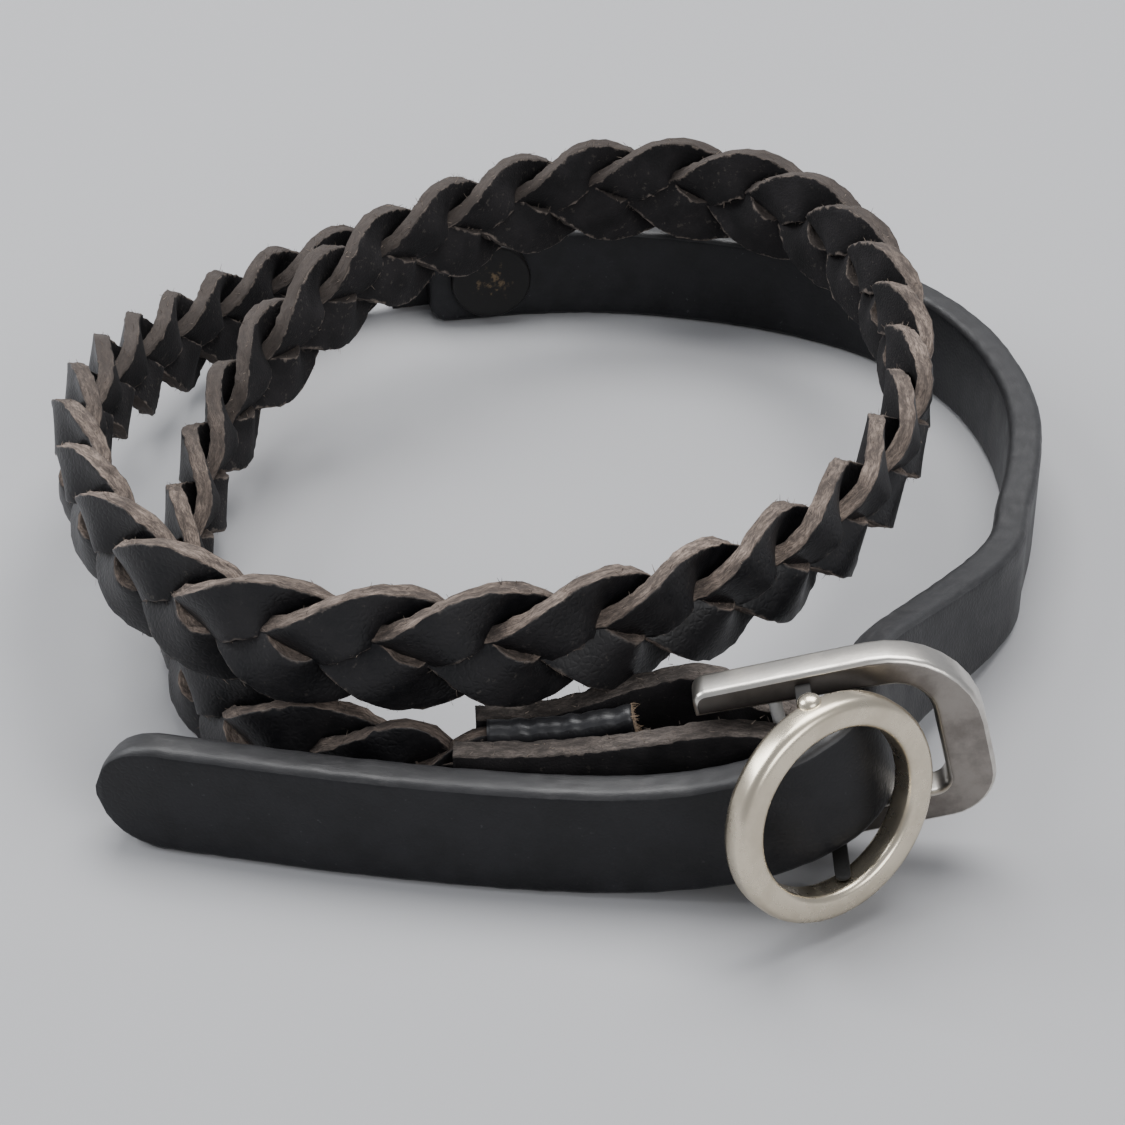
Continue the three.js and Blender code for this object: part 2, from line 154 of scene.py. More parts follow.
def straightStrip(spec, length):  # x is through the leather, y across it and z along it
    strip = bmesh.new()
    bmesh.ops.create_cube(strip, size=1.0)
    bmesh.ops.scale(strip, vec=(spec["thickness"], spec["width"], length), verts=strip.verts)
    bmesh.ops.translate(strip, vec=(0, 0, length / 2), verts=strip.verts)

    def edgesAlong(axis):
        spans = [(e, e.verts[0].co - e.verts[1].co) for e in strip.edges]
        return [e for e, span in spans if abs(span[axis]) > max(0.6 * span.length, 1e-4)]

    bmesh.ops.bevel(strip, geom=edgesAlong(2), affect="EDGES", offset=spec["round"],
                    segments=spec["roundSegments"], profile=0.5, material=-1)
    flatEdges = [e for e in edgesAlong(1) if e.calc_length() > spec["width"] * 0.5]
    bmesh.ops.subdivide_edges(strip, edges=flatEdges, cuts=spec["acrossCuts"])
    wall = spec["thickness"] - 2 * spec["round"]  # the flat part of a cut edge
    sideEdges = [e for e in edgesAlong(0) if e.calc_length() > wall * 0.8]
    bmesh.ops.subdivide_edges(strip, edges=sideEdges, cuts=spec["throughCuts"])
    cuts = max(int(length / spec["step"]), 4)
    bmesh.ops.subdivide_edges(strip, edges=edgesAlong(2), cuts=cuts)
    bmesh.ops.recalc_face_normals(strip, faces=strip.faces)
    for face in strip.faces:
        middle = face.calc_center_median()
        face.smooth = True
        if abs(middle.y) > spec["width"] / 2 - spec["round"] * 0.6:
            face.material_index = 1
        elif spec.get("fleshSide") and middle.x < 0:
            face.material_index = 2
        if spec.get("rawEnds") and abs(face.normal.z) > 0.9:
            face.material_index = 2
    return strip


# bends a straight strip along a route; its straight coordinates stay in the attribute flat
def bentStrip(name, spec, route, shape):
    strip = straightStrip(spec, route["distance"][-1])
    mesh = bpy.data.meshes.new(name)
    strip.to_mesh(mesh)
    strip.free()
    flat = np.empty(len(mesh.vertices) * 3)
    mesh.vertices.foreach_get("co", flat)
    flat = flat.reshape(-1, 3)
    layer = mesh.attributes.new("flat", "FLOAT_VECTOR", "POINT")
    layer.data.foreach_set("vector", flat.ravel())
    offset = shape(flat)
    place = frameOn(route, offset[:, 2])
    spot = place["point"] + place["through"] * offset[:, :1] + place["width"] * offset[:, 1:2]
    spot = (spot + np.array(shift)) * mm
    mesh.vertices.foreach_set("co", spot.ravel())
    mesh.update()
    piece = bpy.data.objects.new(name, mesh)
    bpy.context.scene.collection.objects.link(piece)
    return piece


# frays the cut edges with smooth noise, in the strip's own straight coordinates
def roughen(offset, spec, seed):
    moved = offset.copy()
    gap = spec["width"] / 2 - np.abs(offset[:, 1])
    near = np.clip(1 - gap / spec["frayReach"], 0, 1)
    for row, share in zip(moved, near):
        if share > 0:
            where = Vector(row) / spec["fraySize"] + Vector((seed, seed * 2.3, seed * 0.7))
            row[:2] += np.array(noise.noise_vector(where)[:2]) * spec["fray"] * share
    return moved


groups = {}


def newGroup(name, inputs, outputs):
    tree = bpy.data.node_groups.new(name, "ShaderNodeTree")
    for label, kind, value in inputs:
        socket = tree.interface.new_socket(label, in_out="INPUT", socket_type=kind)
        if value is not None:
            socket.default_value = value
    for label, kind in outputs:
        tree.interface.new_socket(label, in_out="OUTPUT", socket_type=kind)
    groups[name] = tree
    return tree, tree.nodes.new("NodeGroupInput"), tree.nodes.new("NodeGroupOutput")


def addNode(tree, kind, links=None, **values):
    node = tree.nodes.new(kind)
    for key, value in values.items():
        setattr(node, key, value)
    for socket, source in (links or {}).items():
        target = node.inputs[socket]
        if isinstance(source, bpy.types.NodeSocket):
            tree.links.new(source, target)
        else:
            target.default_value = source
    return node


def mathNode(tree, operation, a, b=0.0):
    return addNode(tree, "ShaderNodeMath", {0: a, 1: b}, operation=operation).outputs[0]


def rangeNode(tree, value, low, high, toLow=0.0, toHigh=1.0):
    return addNode(tree, "ShaderNodeMapRange", {0: value, 1: low, 2: high, 3: toLow, 4: toHigh},
                   interpolation_type="SMOOTHSTEP").outputs[0]


def mixColour(tree, factor, a, b):
    node = tree.nodes.new("ShaderNodeMix")
    node.data_type = "RGBA"
    for index, value in ((0, factor), (6, a), (7, b)):
        if isinstance(value, bpy.types.NodeSocket):
            tree.links.new(value, node.inputs[index])
        else:
            node.inputs[index].default_value = value
    return node.outputs[2]


def noiseNode(tree, vector, scale, detail=4.0, rough=0.55):
    links = {"Vector": vector, "Scale": scale, "Detail": detail, "Roughness": rough}
    return addNode(tree, "ShaderNodeTexNoise", links).outputs[0]


def buildGrain():  # pebbled hide: cells with fine pores and soft creases
    tree, source, sink = newGroup(
        "hideGrain",
        [("Vector", "NodeSocketVector", None), ("Cells", "NodeSocketFloat", 2600.0),
         ("Creases", "NodeSocketFloat", 260.0)],
        [("Height", "NodeSocketFloat"), ("Shade", "NodeSocketFloat")])
    vector = source.outputs["Vector"]
    cells = addNode(tree, "ShaderNodeTexVoronoi", {"Vector": vector, "Scale": source.outputs["Cells"]},
                    feature="DISTANCE_TO_EDGE").outputs["Distance"]
    pebble = rangeNode(tree, cells, 0.0, 0.28)
    crease = noiseNode(tree, vector, source.outputs["Creases"], 6.0, 0.6)
    pores = noiseNode(tree, vector, mathNode(tree, "MULTIPLY", source.outputs["Cells"], 1.7), 2.0)
    height = mathNode(tree, "ADD", mathNode(tree, "MULTIPLY", pebble, 0.35),
                      mathNode(tree, "MULTIPLY", crease, 0.9))
    height = mathNode(tree, "ADD", height, mathNode(tree, "MULTIPLY", pores, 0.25))
    tree.links.new(height, sink.inputs["Height"])
    tree.links.new(crease, sink.inputs["Shade"])


def buildFlecks():  # sparse lint and scuffs, thicker in some places than in others
    tree, source, sink = newGroup(
        "lintFlecks",
        [("Vector", "NodeSocketVector", None), ("Scale", "NodeSocketFloat", 900.0),
         ("Level", "NodeSocketFloat", 0.66)],
        [("Mask", "NodeSocketFloat")])
    vector = source.outputs["Vector"]
    fine = noiseNode(tree, vector, source.outputs["Scale"], 3.0, 0.6)
    broad = noiseNode(tree, vector, mathNode(tree, "MULTIPLY", source.outputs["Scale"], 0.13), 2.0)
    spot = mathNode(tree, "SUBTRACT", fine, source.outputs["Level"])
    mask = mathNode(tree, "MULTIPLY", rangeNode(tree, spot, 0.0, 0.05), rangeNode(tree, broad, 0.42, 0.6))
    tree.links.new(mask, sink.inputs["Mask"])


def buildRimWearAndHighlight():  # broken wear and a painted highlight along both long edges of a strip, read from its straight coordinates
    tree, source, sink = newGroup(
        "rimWearAndHighlight",
        [("Vector", "NodeSocketVector", None), ("Flat", "NodeSocketVector", None),
         ("Half", "NodeSocketFloat", 2.0), ("Reach", "NodeSocketFloat", 0.4)],
        [("Mask", "NodeSocketFloat")])
    across = addNode(tree, "ShaderNodeSeparateXYZ", {0: source.outputs["Flat"]}).outputs[1]
    gap = mathNode(tree, "SUBTRACT", source.outputs["Half"], mathNode(tree, "ABSOLUTE", across))
    patchy = noiseNode(tree, source.outputs["Vector"], 1300.0, 4.0, 0.65)
    reach = mathNode(tree, "MULTIPLY", source.outputs["Reach"], mathNode(tree, "SUBTRACT", patchy, 0.38))
    share = mathNode(tree, "SUBTRACT", mathNode(tree, "MULTIPLY", reach, 6.0), gap)
    tree.links.new(rangeNode(tree, share, -0.05, 0.2), sink.inputs["Mask"])


def buildFibres():  # torn fibres that run along a cut edge
    tree, source, sink = newGroup(
        "tornFibres",
        [("Vector", "NodeSocketVector", None), ("Scale", "NodeSocketFloat", 1.0)],
        [("Height", "NodeSocketFloat"), ("Shade", "NodeSocketFloat")])
    stretch = {"Vector": source.outputs["Vector"], "Scale": (1.0, 1.0, 0.32)}
    mapping = addNode(tree, "ShaderNodeMapping", stretch)
    scaled = addNode(tree, "ShaderNodeVectorMath", {0: mapping.outputs[0]}, operation="SCALE")
    tree.links.new(source.outputs["Scale"], scaled.inputs["Scale"])
    strands = noiseNode(tree, scaled.outputs[0], 7.0, 5.0, 0.7)
    clumps = noiseNode(tree, scaled.outputs[0], 1.6, 3.0, 0.6)
    height = mathNode(tree, "ADD", mathNode(tree, "MULTIPLY", strands, 0.6), clumps)
    tree.links.new(height, sink.inputs["Height"])
    shade = mathNode(tree, "MULTIPLY", strands, clumps)
    tree.links.new(rangeNode(tree, shade, 0.15, 0.42), sink.inputs["Shade"])


def buildScratches():  # fine drawn lines and small dings in metal
    tree, source, sink = newGroup(
        "metalWear",
        [("Vector", "NodeSocketVector", None), ("Lines", "NodeSocketFloat", 900.0),
         ("Blotches", "NodeSocketFloat", 260.0)],
        [("Height", "NodeSocketFloat"), ("Tarnish", "NodeSocketFloat")])
    vector = source.outputs["Vector"]
    mapping = addNode(tree, "ShaderNodeMapping", {"Vector": vector, "Scale": (0.12, 1.0, 1.0),
                                                  "Rotation": (0.3, 0.5, 0.2)})
    lines = noiseNode(tree, mapping.outputs[0], source.outputs["Lines"], 3.0, 0.6)
    blotches = noiseNode(tree, vector, source.outputs["Blotches"], 5.0, 0.65)
    dings = noiseNode(tree, vector, mathNode(tree, "MULTIPLY", source.outputs["Blotches"], 2.4), 2.0)
    height = mathNode(tree, "ADD", mathNode(tree, "MULTIPLY", lines, 0.35),
                      mathNode(tree, "MULTIPLY", dings, 0.8))
    tree.links.new(height, sink.inputs["Height"])
    tree.links.new(rangeNode(tree, blotches, 0.35, 0.7), sink.inputs["Tarnish"])


def useGroup(tree, name, vector, **values):
    node = tree.nodes.new("ShaderNodeGroup")
    node.node_tree = groups[name]
    tree.links.new(vector, node.inputs["Vector"])
    for key, value in values.items():
        node.inputs[key].default_value = value
    return node


def newMaterial(name, **constants):
    material = bpy.data.materials.new(name)
    material.use_nodes = True
    tree = material.node_tree
    shader = tree.nodes["Principled BSDF"]
    for key, value in constants.items():
        shader.inputs[key.replace("_", " ")].default_value = value
    place = addNode(tree, "ShaderNodeTexCoord").outputs["Object"]
    return material, tree, shader, place


def bumpInto(tree, shader, height, strength, distance):
    bump = addNode(tree, "ShaderNodeBump", {"Height": height, "Strength": strength, "Distance": distance})
    tree.links.new(bump.outputs[0], shader.inputs["Normal"])


def flatVector(tree):
    return addNode(tree, "ShaderNodeAttribute", attribute_name="flat").outputs["Vector"]


def leatherFace(name, look):
    material, tree, shader, place = newMaterial(name, Coat_Weight=look["coat"], Coat_Roughness=0.35,
                                                Specular_IOR_Level=look["specular"])
    grain = useGroup(tree, "hideGrain", place, Cells=look["cells"], Creases=look["creases"])
    flecks = useGroup(tree, "lintFlecks", place, Scale=look["fleckScale"], Level=look["fleckLevel"])
    shade = rangeNode(tree, grain.outputs["Shade"], 0.3, 0.7)
    colour = mixColour(tree, shade, look["dark"], look["light"])
    colour = mixColour(tree, mathNode(tree, "MULTIPLY", flecks.outputs["Mask"], look["fleckStrength"]),
                       colour, look["fleckColour"])
    # the rim mark is wear on the strands and a painted highlight along the strap's edges
    wearAndHighlight = useGroup(tree, "rimWearAndHighlight", place, Half=look["half"], Reach=look["wearAndHighlightReach"])
    tree.links.new(flatVector(tree), wearAndHighlight.inputs["Flat"])
    wearAndHighlightShare = mathNode(tree, "MULTIPLY", wearAndHighlight.outputs["Mask"], look["wearAndHighlight"])
    colour = mixColour(tree, wearAndHighlightShare, colour, look["wearAndHighlightColour"])
    tree.links.new(colour, shader.inputs["Base Color"])
    rough = rangeNode(tree, grain.outputs["Shade"], 0.25, 0.75, look["rough"][0], look["rough"][1])
    tree.links.new(rough, shader.inputs["Roughness"])
    bumpInto(tree, shader, grain.outputs["Height"], look["bump"], 0.00012)
    return material


def leatherEdge(name, look):
    material, tree, shader, place = newMaterial(name)
    fibres = useGroup(tree, "tornFibres", flatVector(tree), Scale=look["fibreScale"])
    broad = noiseNode(tree, place, 230.0, 3.0)
    colour = mixColour(tree, fibres.outputs["Shade"], look["dark"], look["light"])
    blackened = rangeNode(tree, broad, 0.35, 0.65, 0.0, look["blackened"])
    colour = mixColour(tree, blackened, colour, look["black"])
    if look.get("farDark"):  # the raw edges are darker on the far side of the plait, away from the camera
        backward = addNode(tree, "ShaderNodeVectorMath", {0: place, 1: (-0.3, 1.0, 0.0)},
                           operation="DOT_PRODUCT")
        farShare = rangeNode(tree, backward.outputs["Value"], 0.0, 0.02, 0.0, look["farDark"])
        colour = mixColour(tree, farShare, colour, look["black"])
    tree.links.new(colour, shader.inputs["Base Color"])
    rough = rangeNode(tree, broad, 0.3, 0.7, look["rough"][0], look["rough"][1])
    tree.links.new(rough, shader.inputs["Roughness"])
    bumpInto(tree, shader, fibres.outputs["Height"], look["bump"], 0.00018)
    return material


def metal(name, look):
    material, tree, shader, place = newMaterial(name, Metallic=look["metallic"])
    wear = useGroup(tree, "metalWear", place, Lines=look["lines"], Blotches=look["blotches"])
    tarnish = mathNode(tree, "MULTIPLY", wear.outputs["Tarnish"], look["tarnish"])
    colour = mixColour(tree, tarnish, look["bright"], look["dull"])
    if look.get("armShade"):  # the arms are painted dark, as shade and as the reflection of the black leather; the end of the frame is left brighter
        along = addNode(tree, "ShaderNodeSeparateXYZ", {0: flatVector(tree)}).outputs[0]
        armShadeShare = rangeNode(tree, along, -2.5, 2.0, look["armShade"], 0.0)
        colour = mixColour(tree, armShadeShare, colour, look["armShadeColour"])
    tree.links.new(colour, shader.inputs["Base Color"])
    rough = rangeNode(tree, tarnish, 0.0, 1.0, look["rough"][0], look["rough"][1])
    tree.links.new(rough, shader.inputs["Roughness"])
    bumpInto(tree, shader, wear.outputs["Height"], look["bump"], 0.00006)
    return material


buildGrain()
buildFlecks()
buildRimWearAndHighlight()
buildFibres()
buildScratches()

# on the strap the rim mark is grey, a painted highlight along the rounded long edges
strapLook = dict(dark=(0.005, 0.005, 0.006, 1), light=(0.012, 0.012, 0.014, 1), coat=0.04, cells=2300.0,
                 creases=330.0, fleckScale=2600.0, fleckLevel=0.67, fleckStrength=0.3, specular=0.3,
                 fleckColour=(0.10, 0.10, 0.105, 1), rough=(0.42, 0.58), bump=0.25, half=3.76,
                 wearAndHighlightReach=0.16, wearAndHighlight=0.3, wearAndHighlightColour=(0.06, 0.058, 0.058, 1))
# on the strands the rim mark is tan wear, which also stands in for the highlight on their corners
strandLook = dict(strapLook, dark=(0.005, 0.005, 0.006, 1), light=(0.014, 0.013, 0.014, 1), coat=0.03,
                  fleckLevel=0.64, fleckStrength=0.32, fleckColour=(0.10, 0.088, 0.075, 1),
                  rough=(0.38, 0.58), bump=0.35, half=1.95, wearAndHighlightReach=0.13, wearAndHighlight=0.7,
                  wearAndHighlightColour=(0.17, 0.14, 0.12, 1))
fleshLook = dict(strandLook, dark=(0.008, 0.0075, 0.008, 1), light=(0.022, 0.020, 0.021, 1), coat=0.0,
                 cells=3600.0, fleckLevel=0.60, fleckStrength=0.36, rough=(0.72, 0.92), bump=0.5,
                 specular=0.2, wearAndHighlightReach=0.2, wearAndHighlight=0.8)
plyLook = dict(fleshLook, half=3.75, fleckLevel=0.63, wearAndHighlightReach=0.13)
rawEdgeLook = dict(dark=(0.065, 0.049, 0.041, 1), light=(0.31, 0.24, 0.195, 1),
                   black=(0.04, 0.032, 0.028, 1), blackened=0.5, fibreScale=1.6, rough=(0.85, 1.0),
                   bump=0.9, farDark=0.88)
plyEdgeLook = dict(rawEdgeLook, farDark=0, dark=(0.04, 0.033, 0.029, 1), light=(0.16, 0.132, 0.115, 1),
                   blackened=0.4)
strapEdgeLook = dict(rawEdgeLook, farDark=0, dark=(0.014, 0.014, 0.015, 1), light=(0.032, 0.031, 0.032, 1),
                     black=(0.012, 0.012, 0.014, 1), blackened=0.6, rough=(0.42, 0.55), bump=0.16)
tabEdgeLook = dict(strapEdgeLook, light=(0.035, 0.035, 0.038, 1), rough=(0.25, 0.4), bump=0.15)
rawEndLook = dict(rawEdgeLook, farDark=0, dark=(0.16, 0.11, 0.07, 1), light=(0.50, 0.38, 0.27, 1),
                  blackened=0.1)
strapFace = leatherFace("strapFace", strapLook)
strandFace = leatherFace("strandFace", strandLook)
strandFlesh = leatherFace("strandFlesh", fleshLook)
plyFace = leatherFace("plyFace", plyLook)
rawEdge = leatherEdge("rawEdge", rawEdgeLook)
plyEdge = leatherEdge("plyEdge", plyEdgeLook)
strapEdge = leatherEdge("strapEdge", strapEdgeLook)
tabEdge = leatherEdge("tabEdge", tabEdgeLook)
rawEnd = leatherEdge("rawEnd", rawEndLook)
ringMetal = metal("ringMetal", dict(
    metallic=1.0, bright=(0.75, 0.67, 0.53, 1), dull=(0.55, 0.475, 0.36, 1), tarnish=0.6,
    rough=(0.26, 0.38), bump=0.03, lines=900.0, blotches=300.0))
frameRim = metal("frameRim", dict(
    metallic=1.0, bright=(0.66, 0.63, 0.58, 1), dull=(0.36, 0.33, 0.30, 1), tarnish=0.7,
    rough=(0.28, 0.45), bump=0.3, lines=1300.0, blotches=300.0))
# the flat faces are a darker, browner copy of the rim's metal: tarnish together with painted shade; the arms
# are darkened further as painted shade
frameFaceTarnishAndShade = metal("frameFaceTarnishAndShade", dict(
    metallic=1.0, bright=(0.30, 0.275, 0.25, 1), dull=(0.16, 0.142, 0.13, 1), tarnish=0.8,
    rough=(0.38, 0.55), bump=0.25, lines=1300.0, blotches=300.0, armShade=0.8,
    armShadeColour=(0.055, 0.048, 0.043, 1)))
# the lugs are painted near black as shade, so they read as a dark gap under the arm
lugShadeMetal = metal("lugShadeMetal", dict(
    metallic=0.2, bright=(0.016, 0.015, 0.014, 1), dull=(0.008, 0.008, 0.008, 1), tarnish=0.8,
    rough=(0.6, 0.8), bump=0.3, lines=1300.0, blotches=500.0))
# the pin is painted near white with little metal, a painted highlight that keeps it bright whatever it
# reflects
pinGlintMetal = metal("pinGlintMetal", dict(
    metallic=0.2, bright=(0.95, 0.95, 0.93, 1), dull=(0.75, 0.74, 0.72, 1), tarnish=0.5,
    rough=(0.3, 0.45), bump=0.1, lines=1500.0, blotches=600.0))


def wornLacquer(name):  # black lacquer, rubbed through to brass near the middle of the head
    material, tree, shader, place = newMaterial(name, Specular_IOR_Level=0.25)
    wear = useGroup(tree, "metalWear", place, Lines=1200.0, Blotches=1500.0)
    parts = addNode(tree, "ShaderNodeSeparateXYZ", {0: flatVector(tree)}).outputs
    radius = mathNode(tree, "SQRT", mathNode(tree, "ADD", mathNode(tree, "MULTIPLY", parts[1], parts[1]),
                                             mathNode(tree, "MULTIPLY", parts[2], parts[2])))
    patch = mathNode(tree, "SUBTRACT", mathNode(tree, "MULTIPLY", wear.outputs["Tarnish"], 2.4), radius)
    worn = mathNode(tree, "MULTIPLY", rangeNode(tree, patch, 0.0, 1.8), 0.6)
    tree.links.new(mixColour(tree, worn, (0.008, 0.0075, 0.0075, 1), (0.24, 0.17, 0.10, 1)),
                   shader.inputs["Base Color"])
    tree.links.new(mathNode(tree, "MULTIPLY", worn, 0.8), shader.inputs["Metallic"])
    tree.links.new(rangeNode(tree, worn, 0.0, 1.0, 0.35, 0.5), shader.inputs["Roughness"])
    bumpInto(tree, shader, wear.outputs["Height"], 0.35, 0.00006)
    return material


rivetMetal = wornLacquer("rivetMetal")
report("materials")


def dress(piece, body, slotName, materials, *replaced):
    for material in materials:
        piece.data.materials.append(material)
    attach(piece, body)
    if replaced:
        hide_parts(*replaced)
    return piece


strap = dict(thickness=2.5, width=8.0, round=0.62, roundSegments=4, acrossCuts=9, throughCuts=2, step=0.55,
             tip=4.6, tipPower=2.2, tipThin=0.18, endRound=1.8, endNarrow=0.45, fray=0.07,
             frayReach=0.9, fraySize=0.9)
strapStations = [
    (-29.6, -31.9, 4), (-25.5, -33.0, 4), (-20.5, -34.1, 4), (-14.8, -35.3, 4), (-7, -36.6, 4),
    (0, -37.4, 4.02), (5, -37.8, 4.3, 2), (9, -38.1, 5.0, 6), (12.6, -38.3, 6.15, 10),
    (15.4, -37.9, 7.35, 13), (17.4, -36.9, 8.3, 14), (18.7, -35.2, 9.0, 14), (19.3, -33.1, 9.2, 14),
    (19.8, -30.4, 8.8, 12), (20.9, -27.0, 7.9, 9), (23.1, -22.6, 6.6, 6),
    (26.3, -17.3, 5.3, 3), (29.5, -12.3, 4.5),
    (31.4, -8.5, 4.12), (32.4, -4.3, 4), (33.6, 0.2, 4), (34.5, 4.7, 4), (35.0, 9.1, 4), (34.7, 15, 4),
    (33.2, 21.5, 4), (30.2, 27.5, 4), (25.5, 32.8, 4), (18.9, 36.7, 4), (13.3, 38.7, 4), (7.6, 40.0, 4),
    (2.4, 40.5, 4), (-3.7, 40.1, 4), (-11.4, 38.7, 4)]
strapRoute = edgeRoute(strapStations)


def strapShape(offset):
    shaped = roughen(offset, strap, 3.0)
    back = np.clip(1 - offset[:, 2] / strap["tip"], 0, 1)
    shaped[:, 1] *= np.sqrt(np.clip(1 - back ** strap["tipPower"], 0.01, 1))
    shaped[:, 0] *= 1 - strap["tipThin"] * back ** 2
    front = np.clip(1 - (strapRoute["distance"][-1] - shaped[:, 2]) / strap["endRound"], 0, 1)
    shaped[:, 1] *= np.sqrt(1 - strap["endNarrow"] * front ** 2.5)
    return shaped


plainStrap = bentStrip("plainStrap", strap, strapRoute, strapShape)
dress(plainStrap, "band", "strap_leather", [strapFace, strapEdge], "plain_strap")
report("strap")

plait = dict(pitch=21.0, sway=2.3, square=0.02, depth=1.1, roll=0.34, phase=0.6, gather=6.0,
             rankSample=60, besides=2.5, thickness=1.2, width=3.9, endWidth=2.5, round=0.12, roundSegments=2,
             acrossCuts=6, throughCuts=3, step=0.4, fleshSide=True, fray=0.17, frayReach=0.35, fraySize=0.5)
plaitStations = [
    (-4.4, -31.9, 4.25), (-7.8, -31.7, 4.3), (-13.8, -30.5, 4.35), (-20.6, -27, 4.35),
    (-25.2, -18.7, 4.35), (-27.0, -10, 4.4),
    (-27.0, -2.2, 4.9), (-26.2, 6.3, 6.2), (-23.7, 13.5, 8.4), (-19.6, 19.0, 10.8), (-15.3, 24.3, 12.2),
    (-9.9, 29.5, 12.6), (-4.3, 34.1, 12.7), (3.1, 37.4, 12.7), (11.5, 37.4, 12.7), (18.7, 33.2, 12.7),
    (23.6, 24.1, 12.7), (25.6, 13.3, 12.7), (24.7, -0.4, 12.7), (20.5, -11.4, 12.7), (15.1, -18.9, 12.7),
    (8.9, -24.3, 12.8), (2.4, -28.0, 13.0), (-4, -29.8, 13.1), (-10.3, -30, 13.1), (-16.6, -29.4, 13.1),
    (-22.1, -26.8, 13.1), (-27.3, -21.6, 13.0), (-31.4, -14, 12.8), (-34.3, -3.8, 12.2), (-34.4, 7.0, 10.3),
    (-32.0, 19.0, 7.35), (-27.6, 29.0, 5.15), (-21.6, 36.6, 4.35), (-15.2, 40.4, 4.35), (-13.0, 40.9, 4.3)]
plaitRoute = edgeRoute(plaitStations)


# the fray of the cut edges, and the narrowing where the strands lie side by side
def strandShape(offset, route, seed):
    shaped = roughen(offset, plait, seed)
    loose = np.interp(offset[:, 2], route["distance"], route["loose"])
    shaped[:, 1] *= (plait["endWidth"] + (plait["width"] - plait["endWidth"]) * loose) / plait["width"]
    return shaped


strandRoutes = []
for index, letter in enumerate("ABC"):
    route = strandRoute(plaitRoute, index, plait)
    strandRoutes.append(route)
    strand = bentStrip("strand" + letter, plait, route,
                       lambda offset, route=route, seed=11.0 + index: strandShape(offset, route, seed))
    dress(strand, "band", "plait_leather", [strandFace, rawEdge, strandFlesh],
          "braid_strand_" + letter.lower())
report("plait")

loop = dict(thickness=1.75, width=7.5, round=0.22, roundSegments=3, acrossCuts=8, throughCuts=3, step=0.35,
            plyGap=3.6, foldRadius=1.6, tabLine=-31.9, leftEnd=-6.9, foldCut=1.4, bulge=1.3,
            foldNarrow=0.5, foldSpread=4.0, fray=0.16, frayReach=0.6, fraySize=0.7)
startTab = dict(rawEnds=True, thickness=1.85, width=8.2, round=0.85, roundSegments=6, acrossCuts=8,
                throughCuts=1, step=0.25, ribs=0.09, ribPitch=1.5, fray=0.04, frayReach=0.6, fraySize=0.7,
                tufts=70)
endTab = dict(thickness=1.6, width=7.6, round=0.25, roundSegments=3, acrossCuts=8, throughCuts=2, step=0.4,
              setback=2.3, past=1.6, fray=0.1, frayReach=0.5, fraySize=0.7)
slopeDegrees = math.degrees(buckle["slope"])
outerPly = loop["tabLine"] - loop["plyGap"] / 2
innerPly = loop["tabLine"] + loop["plyGap"] / 2
loopStations = [(loop["leftEnd"], outerPly, 4.2), (-2, outerPly, 4.2), (2.4, outerPly - 0.2, 4.7, 3),
                (6.5, outerPly - 0.8, 5.8, 9)]
for degrees in (-115, -90, -60, -30, 0, 30, 60, 90, 115):
    reach = loop["foldRadius"] * math.cos(math.radians(degrees))
    side = loop["foldRadius"] * math.sin(math.radians(degrees))
    loopStations.append((pinPlace.x + reach * math.cos(buckle["slope"]), pinPlace.y + side,
                         pinPlace.z + reach * math.sin(buckle["slope"]), slopeDegrees))
loopStations += [(9.6, innerPly + loop["bulge"] * 0.6, 7.2, 11), (5.6, innerPly + loop["bulge"], 6.0, 7),
                 (2.2, innerPly + loop["bulge"] * 0.75, 5.0, 3), (-1.2, innerPly + 0.3, 4.5),
                 (loop["leftEnd"] + loop["foldCut"], innerPly, 4.4)]
loopRoute = edgeRoute(loopStations)


def loopShape(offset):  # narrower where it folds round the pin
    shaped = roughen(offset, loop, 5.0)
    fold = loopRoute["distance"][np.argmax(loopRoute["point"][:, 0])]
    shaped[:, 1] *= 1 - loop["foldNarrow"] * np.exp(-((offset[:, 2] - fold) / loop["foldSpread"]) ** 2)
    return shaped


buckleLoop = bentStrip("buckleLoop", loop, loopRoute, loopShape)
dress(buckleLoop, "band", "strap_leather", [plyFace, plyEdge], "buckle_loop")

startTabRoute = edgeRoute([(5.2, -31.9, 5.8, 6), (2.4, -31.9, 5.2, 3), (-1, -31.9, 4.7),
                           (-4.6, -31.9, 4.5)])


def startTabShape(offset):
    shaped = roughen(offset, startTab, 8.0)
    rib = np.sin(2 * np.pi * offset[:, 2] / startTab["ribPitch"]) * np.sin(offset[:, 2] * 0.9 + 1)
    shaped[:, 1] += startTab["ribs"] * rib * np.sign(offset[:, 1])
    return shaped


firstTab = bentStrip("braidStartTab", startTab, startTabRoute, startTabShape)
dress(firstTab, "band", "tab_leather", [strapFace, tabEdge, rawEnd], "braid_start_tab")

endTabStations = []
for back in (-1.4, 0, 3.5, 7, 10.5, 14):
    beyond = max(endTab["past"] - back, 0)  # how far past the strap's end
    spot = frameOn(strapRoute, strapRoute["distance"][-1] + min(endTab["past"] - back, 0))
    place = spot["point"] - spot["through"] * endTab["setback"]
    endTabStations.append((place[0] - beyond, place[1] - 0.25 * beyond, 4.2))
endTabRoute = edgeRoute(endTabStations)
lastTab = bentStrip("braidEndTab", endTab, endTabRoute, lambda offset: roughen(offset, endTab, 9.0))
dress(lastTab, "band", "tab_leather", [strapFace, plyEdge], "braid_end_tab")
report("loop and tabs")

fuzz = dict(count=3000, tabCount=200, length=(0.2, 0.75), radius=(0.018, 0.04), lean=0.8, spread=0.6,
            proud=0.35, taper=0.3)


